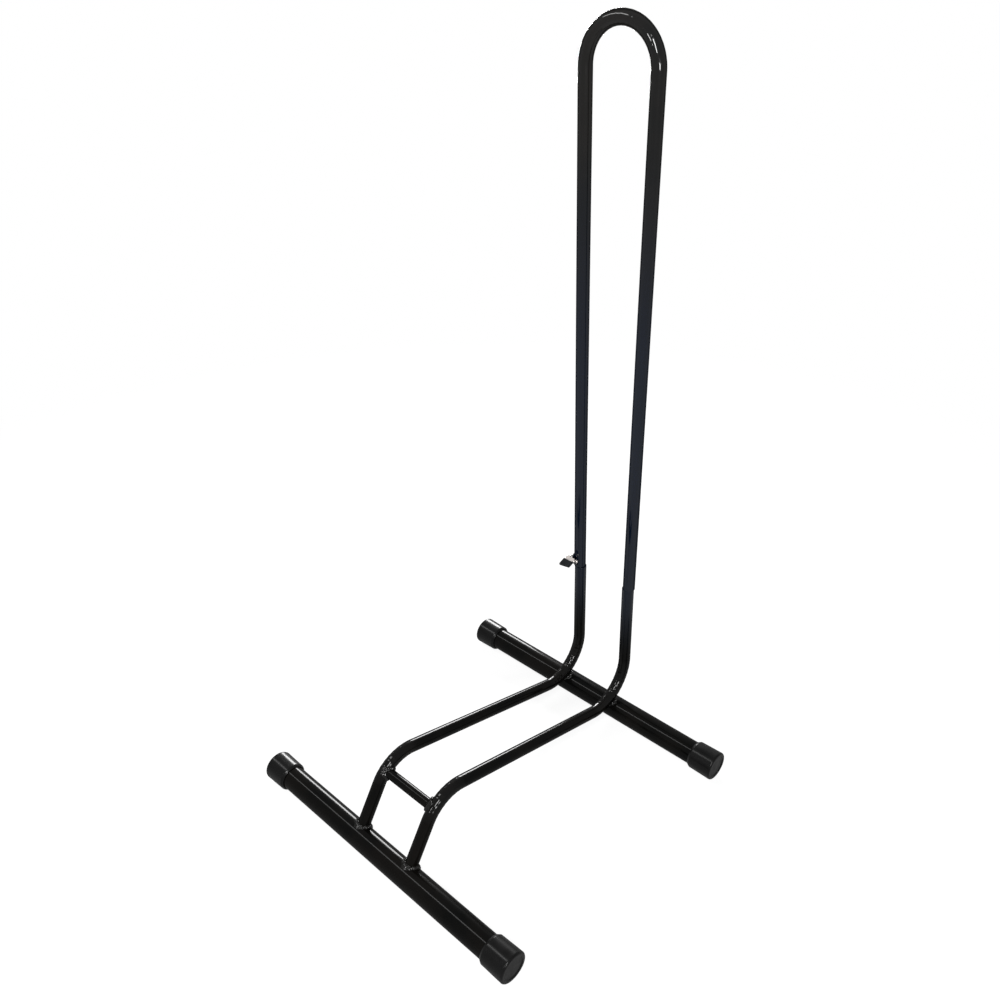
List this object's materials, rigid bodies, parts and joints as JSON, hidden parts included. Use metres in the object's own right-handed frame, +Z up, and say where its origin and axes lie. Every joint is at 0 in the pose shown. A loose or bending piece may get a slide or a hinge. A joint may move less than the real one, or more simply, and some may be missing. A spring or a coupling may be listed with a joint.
{
  "type": "floor bike rack",
  "caption": "Floor bike rack of bent steel tube: capped base tubes carry a wheel cradle and a tall plug-in hoop, held by a small cam catch, that keeps the wheel upright.",
  "frame": {"origin": "on the floor, at the centre of the rack's footprint box", "axes": "+Z up; the wheel rolls in from -Y towards +Y and stands in the X = 0 plane; base tubes along X; the catch is on the -X leg of the hoop"},
  "size_m": [0.4244, 0.439, 0.8964],
  "materials": {
    "black_coat": "gloss black powder coat on steel",
    "cap_plastic": "satin black moulded plastic",
    "grip_plastic": "satin black moulded plastic",
    "zinc_plate": "pale zinc plate"
  },
  "bodies": {
    "base_frame": {"front_base_tube": "black_coat", "rear_base_tube": "black_coat", "front_left_cap": "cap_plastic", "front_right_cap": "cap_plastic", "rear_left_cap": "cap_plastic", "rear_right_cap": "cap_plastic", "left_rail": "black_coat", "right_rail": "black_coat", "crossbar": "black_coat", "left_post_weld": "black_coat", "right_post_weld": "black_coat", "left_crossbar_weld": "black_coat", "right_crossbar_weld": "black_coat", "left_saddle_weld": "black_coat", "right_saddle_weld": "black_coat", "left_spigot": "zinc_plate", "right_spigot": "zinc_plate"},
    "hoop": {"hoop": "black_coat", "catch_bracket": "black_coat", "catch_pin": "zinc_plate"},
    "catch": {"catch_lever": "zinc_plate", "catch_grip": "grip_plastic"}
  },
  "joints": [
    {"name": "hoop_lift", "type": "slide", "parent": "base_frame", "child": "hoop", "axis": [0, -0.0279, 0.9996], "range_m": [0, 0.05]},
    {"name": "catch_hinge", "type": "hinge", "parent": "hoop", "child": "catch", "pos_m": [-0.04178, 0.1973, 0.2226], "axis": [-1, 0.0002, -0.0071], "range_deg": [0, 40]}
  ]
}
